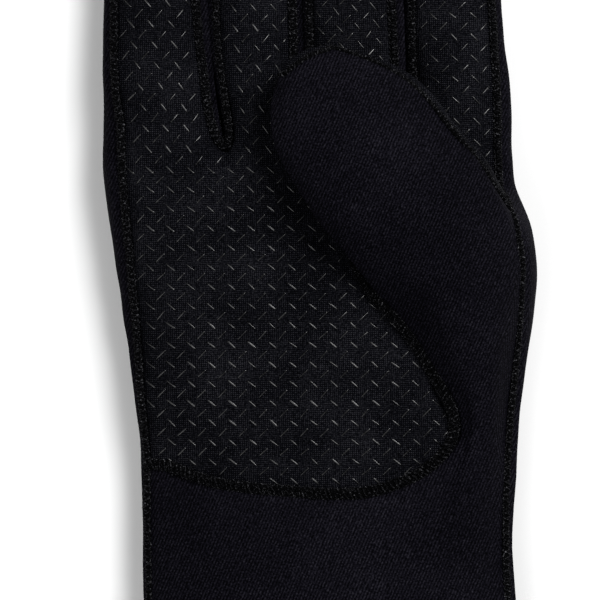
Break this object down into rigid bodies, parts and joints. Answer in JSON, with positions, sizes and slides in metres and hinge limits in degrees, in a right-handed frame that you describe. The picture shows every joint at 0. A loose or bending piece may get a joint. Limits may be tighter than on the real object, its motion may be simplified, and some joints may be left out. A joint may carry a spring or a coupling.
{
  "type": "diving glove",
  "caption": "Right-hand neoprene diving glove with a textured grip palm, smooth back and cuff, raised overlocked seams, lying on its back with the thumb folded over the palm.",
  "frame": {"origin": "the middle of the glove's outline, on the surface that its back lies on", "axes": "+Y towards the fingertips, +X towards the thumb's side, +Z out of the palm"},
  "size_m": [0.1082, 0.2455, 0.0368],
  "materials": {
    "grip_cloth": "black jersey on neoprene, matt",
    "smooth_cloth": "black fine-ribbed knit on neoprene, matt",
    "seam_thread": "black textured overlock thread",
    "grip_dashes": "black raised print, glossy"
  },
  "bodies": {
    "root": {"palm_panel": "grip_cloth", "back_panel": "smooth_cloth", "thumb_cuff_panel": "smooth_cloth", "thumb_grip_panel": "grip_cloth"}
  },
  "joints": []
}
